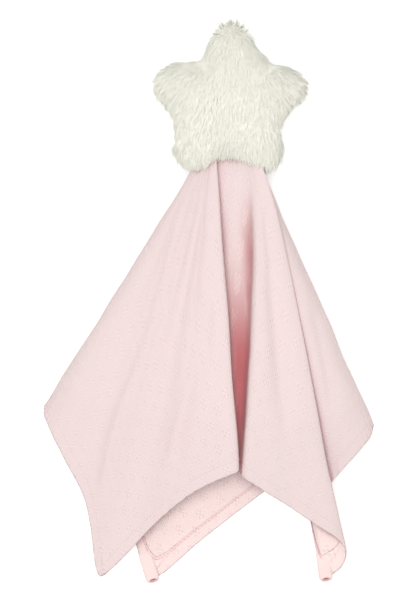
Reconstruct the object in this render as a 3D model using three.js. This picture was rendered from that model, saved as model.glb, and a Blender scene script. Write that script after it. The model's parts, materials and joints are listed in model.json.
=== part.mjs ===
// A comfort blanket lovey: a stuffed plush star sewn by its bottom seam to the middle of a knit blanket.
// It lies face up. Millimetres: X runs across the blanket, Y up past the star, Z away from the table.
// The origin is on the table, under the middle of the whole part.
import * as THREE from "three";
import { mergeVertices } from "three/addons/utils/BufferGeometryUtils.js";

// Driving dimensions of the blanket.
const blanketSide = 400; // the square as it was cut and hemmed, laid out flat
const clothThickness = 1; // knit jersey, with the air that its folds hold
const hemWidth = 8; // the edge turned in once and stitched down
const hemExtraThickness = 0.8; // the turned layer, on the inner face
const neckWidth = 38; // the middle of the cloth, gathered across the star's bottom seam
const gatherDepth = 14; // the gathers' own thickness there
const foldHeight = 26; // how high the top panel lies above the table
const hiddenHemReach = 191; // the fourth corner is tucked up inside, this far below the neck
const cornerRounding = 1; // the hem takes the point off each corner

// Driving dimensions of the star.
const starRadius = 51; // from its middle to the end of an arm, over the pile
const notchRadius = 36.5; // from its middle to the notch between two arms
const starHalfDepth = 20; // seam to crown, on each side
const plushThickness = 5; // backing and pile
const restCutDepth = 0.5; // the crown of the back is pressed flat on the table
const lobeDrop = 36; // from the star's middle down to its bottom seam
const starShift = 1.5; // the star sits this far right of the neck's middle

// Clearances.
const seamGap = 0.3; // between two plush panels at their seam
const fillingGap = 0.3; // between the filling and its cover
const neckGap = 0.4; // between the star's bottom seam and the gathered cloth
const lobeGap = 4.5; // between the star's lower lobes and the sides of the cloth

const halfSide = blanketSide / 2;
const gatherRadius = neckWidth / Math.PI;
const seamHeight = starHalfDepth - restCutDepth;
const starMiddle = new THREE.Vector2(starShift, lobeDrop);

// Main folds of the blanket, in order round the cloth from its left side, over the top and back beneath.
// cloth: degrees round the square from its front left corner. heading: degrees from straight down.
// across and high: where the fold leaves the neck, as shares of half its width and half its depth.
// level: how high it lies at the hem, as a share of the fold height. bow: how far it swings out on the
// way, as a share of half the neck's width.
const foldShares = [
  { cloth: -45, heading: -32.1, across: -1, high: 0, level: 0.27, bow: 0 }, // left side
  { cloth: -39, heading: -31.3, across: -0.97, high: 0.15, level: 0.52, bow: 0 },
  { cloth: -30, heading: -28.7, across: -0.9, high: 0.25, level: 0.71, bow: 0 },
  { cloth: -20, heading: -24.5, across: -0.85, high: 0.3, level: 0.8, bow: 0 },
  { cloth: -12, heading: -19.6, across: -0.79, high: 0.35, level: 0.68, bow: 0 }, // left crease
  { cloth: -7, heading: -17.6, across: -0.75, high: 0.4, level: 0.79, bow: 0 },
  { cloth: 0, heading: -14.5, across: -0.69, high: 0.5, level: 0.73, bow: 0 }, // front left corner
  { cloth: 6, heading: -10.7, across: -0.64, high: 0.6, level: 0.82, bow: 0 },
  { cloth: 12, heading: -7.3, across: -0.6, high: 0.7, level: 0.75, bow: 0 }, // soft crease
  { cloth: 19, heading: -3.1, across: -0.55, high: 0.8, level: 0.87, bow: 0 },
  { cloth: 24.5, heading: 1.2, across: -0.46, high: 0.89, level: 0.92, bow: 0 },
  { cloth: 27, heading: 3.6, across: -0.42, high: 0.9, level: 0.9, bow: 0 },
  { cloth: 28.5, heading: 4.2, across: -0.4, high: 0.77, level: 0.79, bow: 0 }, // edge of the left panel
  { cloth: 30, heading: 3.5, across: -0.42, high: 0.62, level: 0.68, bow: 0 },
  { cloth: 36, heading: -3, across: -0.47, high: 0.58, level: 0.6, bow: 0 },
  { cloth: 42, heading: -10, across: -0.54, high: 0.57, level: 0.57, bow: 0 },
  { cloth: 44.5, heading: -12, across: -0.565, high: 0.43, level: 0.5, bow: 0 }, // back of the valley
  { cloth: 47, heading: -11, across: -0.54, high: 0.29, level: 0.44, bow: 0 },
  { cloth: 53, heading: -5, across: -0.3, high: 0.27, level: 0.42, bow: 0 }, // valley floor
  { cloth: 58, heading: -0.4, across: 0.0, high: 0.3, level: 0.45, bow: 0.2 },
  { cloth: 61, heading: 0.7, across: 0.2, high: 0.35, level: 0.53, bow: 0.38 },
  { cloth: 63, heading: 0.6, across: 0.33, high: 0.41, level: 0.72, bow: 0.43 },
  { cloth: 64.6, heading: 0.4, across: 0.42, high: 0.47, level: 0.89, bow: 0.43 }, // edge of the right panel
  { cloth: 67, heading: 1.4, across: 0.5, high: 0.55, level: 0.98, bow: 0.4 },
  { cloth: 71, heading: 3.6, across: 0.6, high: 0.65, level: 1, bow: 0.34 },
  { cloth: 76, heading: 6.8, across: 0.72, high: 0.76, level: 0.93, bow: 0.28 },
  { cloth: 81, heading: 10, across: 0.85, high: 0.86, level: 1, bow: 0.26 },
  { cloth: 84.5, heading: 12.5, across: 0.93, high: 0.9, level: 1, bow: 0.26 },
  { cloth: 86.1, heading: 13, across: 0.955, high: 0.77, level: 0.86, bow: 0.26 }, // fold of the right panel
  { cloth: 88, heading: 12.1, across: 0.94, high: 0.6, level: 0.71, bow: 0.26 },
  { cloth: 90, heading: 9.6, across: 0.925, high: 0.54, level: 0.67, bow: 0.26 }, // front right corner
  { cloth: 95, heading: 8.9, across: 0.905, high: 0.51, level: 0.66, bow: 0.26 },
  { cloth: 99, heading: 8.3, across: 0.88, high: 0.36, level: 0.62, bow: 0.2 },
  { cloth: 102, heading: 9.2, across: 0.89, high: 0.2, level: 0.55, bow: 0.1 },
  { cloth: 108.2, heading: 12.7, across: 0.93, high: 0.05, level: 0.5, bow: 0 },
  { cloth: 114, heading: 16.2, across: 0.95, high: 0.05, level: 0.53, bow: 0 },
  { cloth: 120, heading: 19.5, across: 0.97, high: 0.04, level: 0.54, bow: 0 },
  { cloth: 128, heading: 22.4, across: 0.99, high: 0.0, level: 0.51, bow: 0 },
  { cloth: 135, heading: 23.7, across: 1, high: -0.12, level: 0.4, bow: 0 }, // right side
  { cloth: 140, heading: 22.5, across: 0.98, high: -0.26, level: 0.315, bow: 0 },
  { cloth: 150, heading: 13.5, across: 0.85, high: -0.31, level: 0.28, bow: 0 },
  { cloth: 165, heading: -2.5, across: 0.5, high: -0.32, level: 0.28, bow: 0 },
  { cloth: 178, heading: -19, across: -0.1, high: -0.32, level: 0.28, bow: 0 },
  { cloth: 182, heading: -22, across: -0.2, high: -0.46, level: 0.23, bow: 0 }, // back of the hidden pleat
  { cloth: 186, heading: -19, across: -0.15, high: -0.6, level: 0.18, bow: 0 },
  { cloth: 200, heading: -5.5, across: 0, high: -0.61, level: 0.17, bow: 0 },
  { cloth: 215, heading: 9, across: 0.15, high: -0.61, level: 0.17, bow: 0 },
  { cloth: 227, heading: 21, across: 0.28, high: -0.62, level: 0.17, bow: 0 },
  { cloth: 230.5, heading: 23.5, across: 0.32, high: -0.76, level: 0.09, bow: 0 }, // front of that pleat
  { cloth: 234, heading: 21, across: 0.28, high: -0.89, level: 0.01, bow: 0 },
  { cloth: 240, heading: 14.5, across: 0.2, high: -0.9, level: 0, bow: 0 },
  { cloth: 251.8, heading: 6.2, across: 0, high: -0.9, level: 0, bow: 0 },
  { cloth: 260.9, heading: -1.1, across: -0.2, high: -0.88, level: 0, bow: 0 },
  { cloth: 270, heading: -8.6, across: -0.4, high: -0.84, level: 0, bow: 0 }, // back left corner
  { cloth: 275.4, heading: -11.5, across: -0.5, high: -0.8, level: 0, bow: 0 },
  { cloth: 290, heading: -19, across: -0.7, high: -0.62, level: 0, bow: 0 },
  { cloth: 303, heading: -27, across: -0.88, high: -0.36, level: 0.01, bow: 0 },
  { cloth: 310, heading: -30.8, across: -0.96, high: -0.18, level: 0.09, bow: 0 },
];
const tuckedCorner = { from: 145, to: 245 }; // cloth angles whose hem is tucked up inside

// How the cloth settles from the neck to the hem.
const settleReach = 70; // past this far from the neck the folds lie at their own level
const droopStart = 165; // from here the corners sink towards the table
const droopShare = 0.3; // of a fold's level is left at a corner's tip
const bowReach = 200; // a bowed fold is back on its heading here
const neckBulgeShare = 0.12; // the gathers are this much flatter at the ends of the neck

// How finely the soft forms are divided.
const longestStep = 6.6; // degrees of cloth between two lines down a fold
const clothRows = [12, 36, 90, droopStart]; // distances down the cloth from the neck
const hemStep = 0.5; // the turned edge rises within this
const angleSample = 0.05; // degrees of cloth to each side, where its direction is measured
const waySample = 0.5; // and down the cloth
const starStep = 6; // degrees between two lines of a star panel
const starLines = Math.round(360 / starStep);
const coverRingShares = [1, 0.94, 0.84, 0.68, 0.48, 0.29, 0.15];
const liningRingShares = [1, 0.86, 0.6, 0.3];
const armSharpness = 1.3;
const crownSquareness = 2.1;
const crownRoundness = 0.52;
const flareSlope = 0.6; // how the cloth widens below the neck, which the lower lobes stay clear of

const knit = new THREE.MeshStandardMaterial({ color: 0xf2dfde, roughness: 0.9, metalness: 0 });
const plush = new THREE.MeshStandardMaterial({ color: 0xedebe0, roughness: 0.95, metalness: 0 });
const fibre = new THREE.MeshStandardMaterial({ color: 0xfafafa, roughness: 1, metalness: 0 });

const radians = (degrees) => THREE.MathUtils.degToRad(degrees);

// One key of two neighbouring folds, eased between them with no overshoot.
function slopeAt(stops, index, key) {
  const last = stops[index - 1];
  const here = stops[index];
  const next = stops[index + 1];
  const before = (here[key] - last[key]) / (here.cloth - last.cloth);
  const after = (next[key] - here[key]) / (next.cloth - here.cloth);
  if (before * after <= 0) return 0;
  return (2 * before * after) / (before + after);
}

function easedKey(stops, index, cloth, key) {
  const span = stops[index + 1].cloth - stops[index].cloth;
  const t = (cloth - stops[index].cloth) / span;
  const start = slopeAt(stops, index, key) * span;
  const end = slopeAt(stops, index + 1, key) * span;
  const rise = t * t * (3 - 2 * t);
  const ease = t * (1 - t) * (1 - t) * start - t * t * (1 - t) * end;
  return stops[index][key] * (1 - rise) + stops[index + 1][key] * rise + ease;
}

// The folds as a ring: the last two come round before the first, and the first two after the last.
function ringOfFolds() {
  const turned = (fold, degrees) => ({ ...fold, cloth: fold.cloth + degrees });
  const before = foldShares.slice(-2).map((fold) => turned(fold, -360));
  const after = foldShares.slice(0, 2).map((fold) => turned(fold, 360));
  return [...before, ...foldShares, ...after];
}

const stops = ringOfFolds();

function foldAt(cloth) {
  const first = foldShares[0].cloth;
  const turn = THREE.MathUtils.euclideanModulo(cloth - first, 360) + first;
  let index = 1;
  while (stops[index + 1].cloth <= turn) index += 1;
  const fold = { cloth };
  for (const key of ["heading", "across", "high", "level", "bow"]) {
    fold[key] = easedKey(stops, index, turn, key);
  }
  return fold;
}

// Length of a line from the neck to the hem, along the cloth.
function hemReach(cloth) {
  const fromMiddle = radians(THREE.MathUtils.euclideanModulo(cloth, 90) - 45);
  const toCorner = halfSide * Math.SQRT2 - cornerRounding;
  const straight = halfSide / Math.cos(fromMiddle);
  const reach = Math.min(straight, toCorner) - gatherRadius;
  const tucked = cloth > tuckedCorner.from && cloth < tuckedCorner.to;
  return tucked ? Math.min(reach, hiddenHemReach) : reach;
}

// A point of the cloth's middle surface, a given way down the line at one cloth angle.
function clothPoint(cloth, way) {
  const fold = foldAt(cloth);
  const heading = radians(fold.heading);
  const bowed = Math.sin(Math.PI * Math.sqrt(Math.min(way / bowReach, 1)));
  const sideways = (fold.across + fold.bow * bowed) * (neckWidth / 2);
  const bulge = 1 - neckBulgeShare * fold.across * fold.across;
  const neckHigh = seamHeight + fold.high * (gatherDepth / 2) * bulge;
  const longestWay = halfSide * Math.SQRT2 - gatherRadius;
  const past = Math.max(way - droopStart, 0) / (longestWay - droopStart);
  const droop = 1 - (1 - droopShare) * past;
  const laidHigh = clothThickness / 2 + fold.level * foldHeight * droop;
  const settled = THREE.MathUtils.smoothstep(way, 0, settleReach);
  return new THREE.Vector3(
    sideways + way * Math.sin(heading),
    -way * Math.cos(heading),
    THREE.MathUtils.lerp(neckHigh, laidHigh, settled),
  );
}

function clothNormal(cloth, way) {
  const along = clothPoint(cloth, way + waySample).sub(clothPoint(cloth, Math.max(way - waySample, 0)));
  const round = clothPoint(cloth + angleSample, way).sub(clothPoint(cloth - angleSample, way));
  return along.cross(round).normalize();
}

// Cloth angles to draw: every named fold, and evenly between two that are far apart.
function clothLines() {
  const lines = [];
  foldShares.forEach((fold, index) => {
    const next = stops[index + 3].cloth;
    const parts = Math.ceil((next - fold.cloth) / longestStep);
    for (let part = 0; part < parts; part += 1) {
      lines.push(fold.cloth + ((next - fold.cloth) * part) / parts);
    }
  });
  return lines;
}

// The band of faces between two rings of points that begin at lower and at upper.
function addWall(triangles, lower, upper, count) {
  for (let i = 0; i < count; i += 1) {
    const j = (i + 1) % count;
    triangles.push(lower + i, upper + i, upper + j);
    triangles.push(lower + i, upper + j, lower + j);
  }
}

// The face that closes the neck, on the gathered ring that begins at start.
function addLid(points, triangles, start, count, outward) {
  const outline = points.slice(start, start + count).map((point) => new THREE.Vector2(point.x, point.z));
  for (const face of THREE.ShapeUtils.triangulateShape(outline, [])) {
    const corners = face.map((corner) => start + corner);
    triangles.push(...(outward ? corners : corners.reverse()));
  }
}

function geometryFrom(points, triangles) {
  const geometry = new THREE.BufferGeometry().setFromPoints(points);
  geometry.setIndex(triangles);
  const merged = mergeVertices(geometry);
  merged.computeVertexNormals();
  return merged;
}

// One line of points round the cloth, on its outer or its inner face.
function clothRing(lines, wayOf, offset) {
  return lines.map((cloth) => {
    const way = wayOf(hemReach(cloth));
    const point = clothPoint(cloth, way).addScaledVector(clothNormal(cloth, way), offset);
    point.z = Math.max(point.z, 0);
    return point;
  });
}

// The neck ring is cut off square, so that the cloth ends in a flat face against the star's seam.
function neckRing(lines, offset, depth) {
  return clothRing(lines, () => 0, offset).map((point) => point.setY(-depth));
}

// The blanket: one sheet with its outer face, its inner face, the thicker turned hem and a closed neck.
function blanketGeometry() {
  const lines = clothLines();
  const half = clothThickness / 2;
  const hemFace = half + hemExtraThickness;
  const rows = clothRows.map((row) => () => row);
  const points = [
    neckRing(lines, half, 0),
    ...rows.map((row) => clothRing(lines, row, half)),
    clothRing(lines, (reach) => reach - hemWidth, half),
    clothRing(lines, (reach) => reach, half),
    clothRing(lines, (reach) => reach, -hemFace),
    clothRing(lines, (reach) => reach - hemWidth, -hemFace),
    clothRing(lines, (reach) => reach - hemWidth - hemStep, -half),
    ...[...rows].reverse().map((row) => clothRing(lines, row, -half)),
    neckRing(lines, -half, clothThickness),
  ].flat();

  const count = lines.length;
  const rings = points.length / count;
  const triangles = [];
  const hemRing = rows.length + 2;
  for (let r = 0; r < hemRing; r += 1) addWall(triangles, r * count, (r + 1) * count, count);
  const innerFace = [];
  for (let r = hemRing; r + 1 < rings; r += 1) addWall(innerFace, (r + 1) * count, r * count, count);
  triangles.push(...innerFace.reverse());
  addLid(points, triangles, 0, count, false);
  addLid(points, triangles, points.length - count, count, true);
  return geometryFrom(points, triangles);
}

// The star's outline from above, drawn in from the pile's outer surface by a given depth.
function starEdge(turn, inset) {
  const swell = Math.pow((1 + Math.cos(5 * turn)) / 2, armSharpness);
  const radius = THREE.MathUtils.lerp(notchRadius, starRadius, swell) - inset;
  const edge = new THREE.Vector2(Math.sin(turn), Math.cos(turn)).multiplyScalar(radius).add(starMiddle);
  const besideNeck = Math.abs(edge.x) - neckWidth / 2 - inset - lobeGap;
  const seamLine = neckGap + inset - Math.max(besideNeck, 0) / flareSlope;
  edge.y = Math.max(edge.y, seamLine);
  return edge;
}

// Points of one domed half of the star, ring by ring from its edge to its crown.
function domeRings(points, ringShares, inset, side) {
  const depth = starHalfDepth - inset;
  for (const share of ringShares) {
    const rise = depth * Math.pow(1 - Math.pow(share, crownSquareness), crownRoundness);
    for (let i = 0; i < starLines; i += 1) {
      const edge = starEdge((2 * Math.PI * i) / starLines, inset);
      const flat = starMiddle.clone().lerp(edge, share);
      const high = seamHeight + side * (seamGap / 2 + rise);
      points.push(new THREE.Vector3(flat.x, flat.y, Math.max(high, 0)));
    }
  }
  const crown = seamHeight + side * (seamGap / 2 + depth);
  points.push(new THREE.Vector3(starMiddle.x, starMiddle.y, Math.max(crown, 0)));
}

function addDome(triangles, start, ringCount, outward) {
  const faces = [];
  for (let r = 0; r + 1 < ringCount; r += 1) {
    addWall(faces, start + r * starLines, start + (r + 1) * starLines, starLines);
  }
  const crown = start + ringCount * starLines;
  const last = crown - starLines;
  for (let i = 0; i < starLines; i += 1) faces.push(last + i, crown, last + ((i + 1) % starLines));
  if (!outward) faces.reverse();
  triangles.push(...faces);
}

// A plush panel: its outer face, its inner face and the seam edge that joins them.
function plushPanelGeometry(side) {
  const points = [];
  domeRings(points, coverRingShares, 0, side);
  const lining = points.length;
  domeRings(points, liningRingShares, plushThickness, side);
  const triangles = [];
  addDome(triangles, 0, coverRingShares.length, side > 0);
  addDome(triangles, lining, liningRingShares.length, side < 0);
  const seam = [];
  addWall(seam, lining, 0, starLines);
  if (side < 0) seam.reverse();
  triangles.push(...seam);
  return geometryFrom(points, triangles);
}

function fillingGeometry() {
  const points = [];
  const inset = plushThickness + fillingGap;
  domeRings(points, liningRingShares, inset, 1);
  const under = points.length;
  domeRings(points, liningRingShares, inset, -1);
  const triangles = [];
  addDome(triangles, 0, liningRingShares.length, true);
  addDome(triangles, under, liningRingShares.length, false);
  addWall(triangles, under, 0, starLines);
  return geometryFrom(points, triangles);
}

function named(name, geometry, material) {
  const mesh = new THREE.Mesh(geometry, material);
  mesh.name = name;
  return mesh;
}

const star = new THREE.Group();
star.add(named("star_front_panel", plushPanelGeometry(1), plush.clone()));
star.add(named("star_back_panel", plushPanelGeometry(-1), plush.clone()));
star.add(named("star_filling", fillingGeometry(), fibre));

const lovey = new THREE.Group();
lovey.add(named("blanket", blanketGeometry(), knit));
lovey.add(star);

// The whole part is centred over its origin.
const extent = new THREE.Box3().setFromObject(lovey);
lovey.position.set(-(extent.min.x + extent.max.x) / 2, -(extent.min.y + extent.max.y) / 2, 0);

export default lovey;
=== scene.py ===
# A comfort blanket lovey: a plush star sewn to the middle of a pink openwork knit blanket, laid out face up.
import json
import math

import bmesh
import bpy
import numpy as np
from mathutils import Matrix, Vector
from mathutils.kdtree import KDTree


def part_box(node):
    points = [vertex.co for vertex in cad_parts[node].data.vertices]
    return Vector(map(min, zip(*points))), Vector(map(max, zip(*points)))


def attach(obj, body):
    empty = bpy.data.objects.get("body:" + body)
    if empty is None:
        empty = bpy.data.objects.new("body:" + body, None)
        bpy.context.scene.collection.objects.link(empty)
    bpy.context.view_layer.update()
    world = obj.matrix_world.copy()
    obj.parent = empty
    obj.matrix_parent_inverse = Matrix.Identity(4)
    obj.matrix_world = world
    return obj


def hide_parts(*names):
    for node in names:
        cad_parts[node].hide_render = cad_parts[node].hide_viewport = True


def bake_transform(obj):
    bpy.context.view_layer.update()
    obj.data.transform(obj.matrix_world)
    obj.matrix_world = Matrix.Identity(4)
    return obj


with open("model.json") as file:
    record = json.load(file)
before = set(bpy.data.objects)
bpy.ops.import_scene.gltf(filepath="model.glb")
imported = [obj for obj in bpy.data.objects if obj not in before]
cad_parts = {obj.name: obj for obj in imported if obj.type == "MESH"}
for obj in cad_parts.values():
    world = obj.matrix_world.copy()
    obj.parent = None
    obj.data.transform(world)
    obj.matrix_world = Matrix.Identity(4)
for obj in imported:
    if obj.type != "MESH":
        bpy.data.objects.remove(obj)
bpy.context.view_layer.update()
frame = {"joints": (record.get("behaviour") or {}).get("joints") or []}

mm = 0.001
hinge = Vector(frame["joints"][0]["pos_m"])
neckPlace = np.array((hinge.x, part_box("blanket")[1].y, 0)) / mm  # the gathered middle, on the table
print("frame loaded, neck at", neckPlace)


# Small helpers.
def toLinear(hexColor):
    channels = [int(hexColor[i:i + 2], 16) / 255 for i in (1, 3, 5)]
    return tuple(c / 12.92 if c <= 0.04045 else ((c + 0.055) / 1.055) ** 2.4 for c in channels) + (1,)


# Adds a node with its settings and links, and returns its first output. A word alone is its operation, and
# inputs in brackets go to its sockets in their order.
def addNode(material, kind, settings=None, inputs=()):
    node = material.node_tree.nodes.new(kind)
    settings = {"operation": settings} if isinstance(settings, str) else settings or {}
    for name, value in settings.items():
        setattr(node, name, value)
    for name, value in inputs.items() if isinstance(inputs, dict) else enumerate(inputs):
        if isinstance(value, bpy.types.NodeSocket):
            material.node_tree.links.new(value, node.inputs[name])
        else:
            node.inputs[name].default_value = value
    return node.outputs[0] if node.outputs else None


def newMaterial(name):
    material = bpy.data.materials.new(name)
    material.use_nodes = True
    material.node_tree.nodes.clear()
    return material


def newPiece(name, mesh, *materials):
    piece = bpy.data.objects.new(name, mesh)
    bpy.context.scene.collection.objects.link(piece)
    for material in materials:
        mesh.materials.append(material)
    mesh.shade_smooth()
    return piece


def unit(vectors):
    return vectors / np.maximum(np.linalg.norm(vectors, axis=-1, keepdims=True), 1e-9)


# Rises gently from 0 to 1 between these two values.
def smooth(value, start, end):
    t = np.clip((value - start) / (end - start), 0, 1)
    return t * t * (3 - 2 * t)


# Gives a sheet its thickness. Its other face takes this material of the sheet's.
def thicken(piece, thickness, offset=0, otherFace=0):
    solid = piece.modifiers.new("thickness", "SOLIDIFY")
    solid.thickness = thickness * mm
    solid.offset = offset
    solid.material_offset = otherFace


# Studio: a pale floor, a white surround and soft light from above, with the camera straight overhead.
studio = {
    "pixel": 0.633, "frameWide": 416, "frameHigh": 601, "neckColumn": 228, "neckRow": 161,
    "cameraDistance": 1700, "sharpHeight": 20, "floorSize": 8000,
    "floorColor": "#f4f4f4", "floorGlow": 0.35, "skyLight": 0.58, "skyColor": "#fffdf8",
    "keyPower": 21.6, "keySize": 1500, "keyPlace": (-150, 80, 1660),
}


def makeStudio():
    bpy.context.scene.view_settings.view_transform = "Standard"
    middleRight = (studio["frameWide"] / 2 - studio["neckColumn"]) * studio["pixel"]
    middleUp = (studio["neckRow"] - studio["frameHigh"] / 2) * studio["pixel"]
    aim = neckPlace + (middleRight, middleUp, studio["sharpHeight"])

    camera = bpy.data.objects.new("photoCamera", bpy.data.cameras.new("photoCamera"))
    camera.location = Vector(aim + (0, 0, studio["cameraDistance"])) * mm
    halfHigh = studio["frameHigh"] * studio["pixel"] / 2
    camera.data.lens = camera.data.sensor_width / 2 * studio["cameraDistance"] / halfHigh
    camera.data.clip_end = 100
    bpy.context.scene.collection.objects.link(camera)
    bpy.context.scene.camera = camera

    # Matt card: it shows white to the camera and still takes the object's soft shadow.
    card = newMaterial("whiteCard")
    seen = addNode(card, "ShaderNodeLightPath")
    glow = addNode(card, "ShaderNodeMath", "MULTIPLY", (seen, studio["floorGlow"]))
    paper = addNode(card, "ShaderNodeBsdfPrincipled", None, {
        "Base Color": toLinear(studio["floorColor"]), "Roughness": 1, "Specular IOR Level": 0,
        "Emission Color": (1, 1, 1, 1), "Emission Strength": glow})
    addNode(card, "ShaderNodeOutputMaterial", None, {"Surface": paper})
    shape = bmesh.new()
    bmesh.ops.create_grid(shape, x_segments=2, y_segments=2, size=studio["floorSize"] / 2 * mm)
    mesh = bpy.data.meshes.new("studioFloor")
    shape.to_mesh(mesh)
    shape.free()
    newPiece("studioFloor", mesh, card)

    # White surround: soft light from all round, and plain white to the camera.
    world = bpy.data.worlds.new("whiteSurround")
    bpy.context.scene.world = world
    world.use_nodes = True
    world.node_tree.nodes.clear()
    seen = addNode(world, "ShaderNodeLightPath")
    light = addNode(world, "ShaderNodeBackground", None, {
        "Color": toLinear(studio["skyColor"]), "Strength": studio["skyLight"]})
    white = addNode(world, "ShaderNodeBackground", None, {"Color": (1, 1, 1, 1), "Strength": 1})
    both = addNode(world, "ShaderNodeMixShader", None, (seen, light, white))
    addNode(world, "ShaderNodeOutputWorld", None, {"Surface": both})

    lamp = bpy.data.lights.new("softbox", "AREA")
    lamp.shape = "DISK"
    lamp.size = studio["keySize"] * mm
    lamp.energy = studio["keyPower"]
    softbox = bpy.data.objects.new("softbox", lamp)
    softbox.location = Vector(studio["keyPlace"]) * mm
    softbox.rotation_euler = (-softbox.location).to_track_quat("-Z", "Y").to_euler()
    bpy.context.scene.collection.objects.link(softbox)
    print("studio ready")


makeStudio()

# The blanket: a square of knit gathered at its middle, with the same main folds as its CAD solid.
blanket = {
    "side": 400, "thickness": 0.9, "hemWidth": 8, "turnedThickness": 0.5,
    "cornerCuts": (0.5, 5, 0.5, 5), "cornerHardness": 60,
    "neckWidth": 38, "gatherDepth": 14, "foldHeight": 26, "seamHeight": 19.5, "pinchHeight": 7,
    "hiddenHemReach": 191, "tuckedCorner": (145, 245), "settleReach": 70, "bowReach": 200,
    "droopStart": 165, "droopShare": 0.3, "neckBulgeShare": 0.12,
    "fineStep": 0.95, "coarseStep": 2.6, "hiddenFrom": 150, "hiddenTo": 248, "partsPerFold": 3,
    "pinchRows": 7, "rows": 80, "hemRows": (8.8, 8, 7.6, 7, 6.4, 5, 3, 1.2, 0),
    "offTable": 0.05, "hemHeight": 0.9, "hemFade": (1, 7), "nudge": (0.4, 0.05), "softCornerReach": 34,
    "stitchFromEdge": 7, "stitchEvery": 2.9, "stitchLength": 2.1, "stitchThick": 0.5,
    "stitchesInner": -0.96, "stitchesOuter": 0.26,
    "unstitched": (82, 90.3),  # degrees where the hem's fold at the right panel hides its stitches
    # the hem's turned strip: millimetres in from the edge, and how far its middle lies below the cloth's
    "turning": ((0.25, 0.55), (0.9, 0.74), (2.5, 0.75), (5, 0.75), (6.6, 0.73), (7.4, 0.75), (8, 0.68)),
    # the right panel's far side lies lower towards its hem: degrees, and by how much
    "pressed": ((84, 0), (86.1, 1), (88, 3), (90, 3.6), (95, 5), (99, 6.5), (102, 8), (108, 7), (114, 5),
                (120, 3), (128, 0)),
    "pressedOver": (130, 225),
    "seed": 7, "slowWave": 1.0, "slowWaves": 9, "slowWaveEvery": (30, 90), "slowWaveFrom": 25,
    "pucker": 0.18, "puckers": 44, "puckerReach": 13, "puckerSway": (7, 1.3),
    "hemWave": 0.45, "hemWaveEvery": 9.5, "hemWaveReach": 7, "hemWaveSway": 2,
    "calm": (84, 88, 104, 112),  # no waves between these degrees, where the cloth is folded tightly
}
# Each fold: degrees round the cloth from the front left corner, heading from straight down, then shares:
# across and high at the neck, level at the hem, and how far the fold bows out on its way.
foldShares = (
    (-45, -32.1, -1, 0, 0.27, 0),  # left side
    (-39, -31.6, -0.97, 0.15, 0.52, 0),
    (-30, -29.6, -0.9, 0.25, 0.71, 0),
    (-20, -24.8, -0.85, 0.3, 0.79, 0),
    (-12, -19.8, -0.79, 0.35, 0.77, 0),
    (-7, -17.6, -0.75, 0.4, 0.79, 0),
    (0, -14.5, -0.69, 0.5, 0.73, 0),  # front left corner
    (6, -10.7, -0.64, 0.6, 0.82, 0),
    (12, -7.3, -0.6, 0.7, 0.75, 0),  # soft crease
    (19, -3.1, -0.55, 0.8, 0.87, 0),
    (24.5, 1.2, -0.46, 0.89, 0.9, 0),
    (27, 3.6, -0.42, 0.9, 0.88, 0),
    (28.5, 4.2, -0.4, 0.77, 0.835, 0),  # edge of the left panel
    (30, 3.5, -0.42, 0.62, 0.78, 0),
    (36, -3, -0.47, 0.58, 0.68, 0),
    (42, -10, -0.54, 0.57, 0.59, 0),
    (44.5, -12, -0.565, 0.43, 0.54, 0),  # back of the valley
    (47, -11, -0.54, 0.29, 0.51, 0),
    (53, -5, -0.3, 0.27, 0.53, 0),  # valley floor
    (58, -0.4, 0.0, 0.3, 0.57, 0.2),
    (61, 0.7, 0.2, 0.35, 0.56, 0.38),
    (63, 0.6, 0.33, 0.41, 0.68, 0.43),
    (64.6, 0.4, 0.42, 0.47, 0.86, 0.43),  # edge of the right panel
    (67, 1.4, 0.5, 0.55, 0.98, 0.4),
    (71, 3.6, 0.6, 0.65, 1, 0.34),
    (76, 6.8, 0.72, 0.76, 0.93, 0.28),
    (81, 10, 0.85, 0.86, 0.91, 0.26),
    (84.5, 12.5, 0.93, 0.9, 0.85, 0.26),
    (86.1, 13, 0.955, 0.77, 0.81, 0.26),  # fold of the right panel
    (88, 12.1, 0.94, 0.6, 0.77, 0.26),
    (90, 9.6, 0.925, 0.54, 0.76, 0.26),  # front right corner
    (95, 9.15, 0.905, 0.51, 0.75, 0.26),
    (99, 9.2, 0.88, 0.36, 0.72, 0.2),
    (102, 9.9, 0.89, 0.2, 0.69, 0.1),
    (108.2, 12.7, 0.93, 0.05, 0.7, 0),
    (114, 16.2, 0.95, 0.05, 0.74, 0),
    (120, 19.5, 0.97, 0.04, 0.7, 0),
    (128, 22.4, 0.99, 0.0, 0.55, 0),
    (135, 23.7, 1, -0.12, 0.4, 0),  # right side
    (140, 22.5, 0.98, -0.26, 0.315, 0),
    (150, 13.5, 0.85, -0.31, 0.28, 0),
    (165, -2.5, 0.5, -0.32, 0.28, 0),
    (178, -19, -0.1, -0.32, 0.28, 0),
    (182, -22, -0.2, -0.46, 0.23, 0),  # back of the hidden pleat
    (186, -19, -0.15, -0.6, 0.18, 0),
    (200, -5.5, 0, -0.61, 0.17, 0),
    (215, 9, 0.15, -0.61, 0.17, 0),
    (227, 21, 0.28, -0.62, 0.17, 0),
    (230.5, 23.5, 0.32, -0.76, 0.09, 0),  # front of the hidden pleat
    (234, 21, 0.28, -0.89, 0.01, 0),
    (240, 14.5, 0.2, -0.9, 0, 0),
    (251.8, 6.2, 0, -0.9, 0, 0),
    (260.9, -1.1, -0.2, -0.88, 0, 0),
    (270, -8.6, -0.4, -0.84, 0, 0),  # back left corner
    (275.4, -11.5, -0.5, -0.8, 0, 0),
    (290, -19, -0.7, -0.62, 0, 0),
    (303, -27, -0.88, -0.36, 0.01, 0),
    (310, -30.8, -0.96, -0.18, 0.09, 0),
)
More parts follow.
